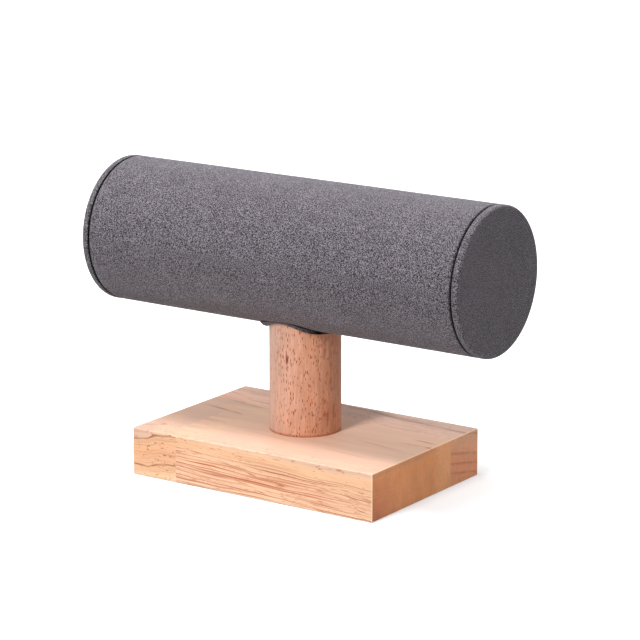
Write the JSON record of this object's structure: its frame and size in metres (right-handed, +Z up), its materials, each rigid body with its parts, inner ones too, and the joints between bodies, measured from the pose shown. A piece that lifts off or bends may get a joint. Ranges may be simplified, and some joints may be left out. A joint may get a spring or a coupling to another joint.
{
  "type": "bracelet display stand",
  "caption": "Jewellery display roller wrapped in charcoal suede, held level by a round beech post on a rectangular jointed wood base.",
  "frame": {"origin": "middle of the base's underside, on the surface that the stand rests on", "axes": "+X along the roller, +Y from the front of the base to its back, +Z up"},
  "size_m": [0.155, 0.067, 0.105],
  "materials": {
    "rubberwood_pale": "sanded and clear oiled, pale with long brown streaks",
    "rubberwood_honey": "sanded and clear oiled, wavy rings with dark pores",
    "rubberwood_brown": "sanded and clear oiled, browner with level rings",
    "beech": "sanded, warm pink-brown with short dark flecks",
    "charcoal_suede": "short brushed nap, matt",
    "grey_board": "wound paper tube, raw",
    "cap_board": "pressed paper board, raw",
    "zinc_plated_steel": "zinc plated, semi-bright"
  },
  "bodies": {
    "root": {"front_long_stave": "rubberwood_pale", "front_short_stave": "rubberwood_honey", "back_stave": "rubberwood_brown", "post": "beech", "base_screw": "zinc_plated_steel", "core_tube": "grey_board", "sleeve_cover": "charcoal_suede", "left_cap_board": "cap_board", "right_cap_board": "cap_board", "left_cap_cover": "charcoal_suede", "right_cap_cover": "charcoal_suede", "left_cap_plug": "cap_board", "right_cap_plug": "cap_board"}
  },
  "joints": []
}
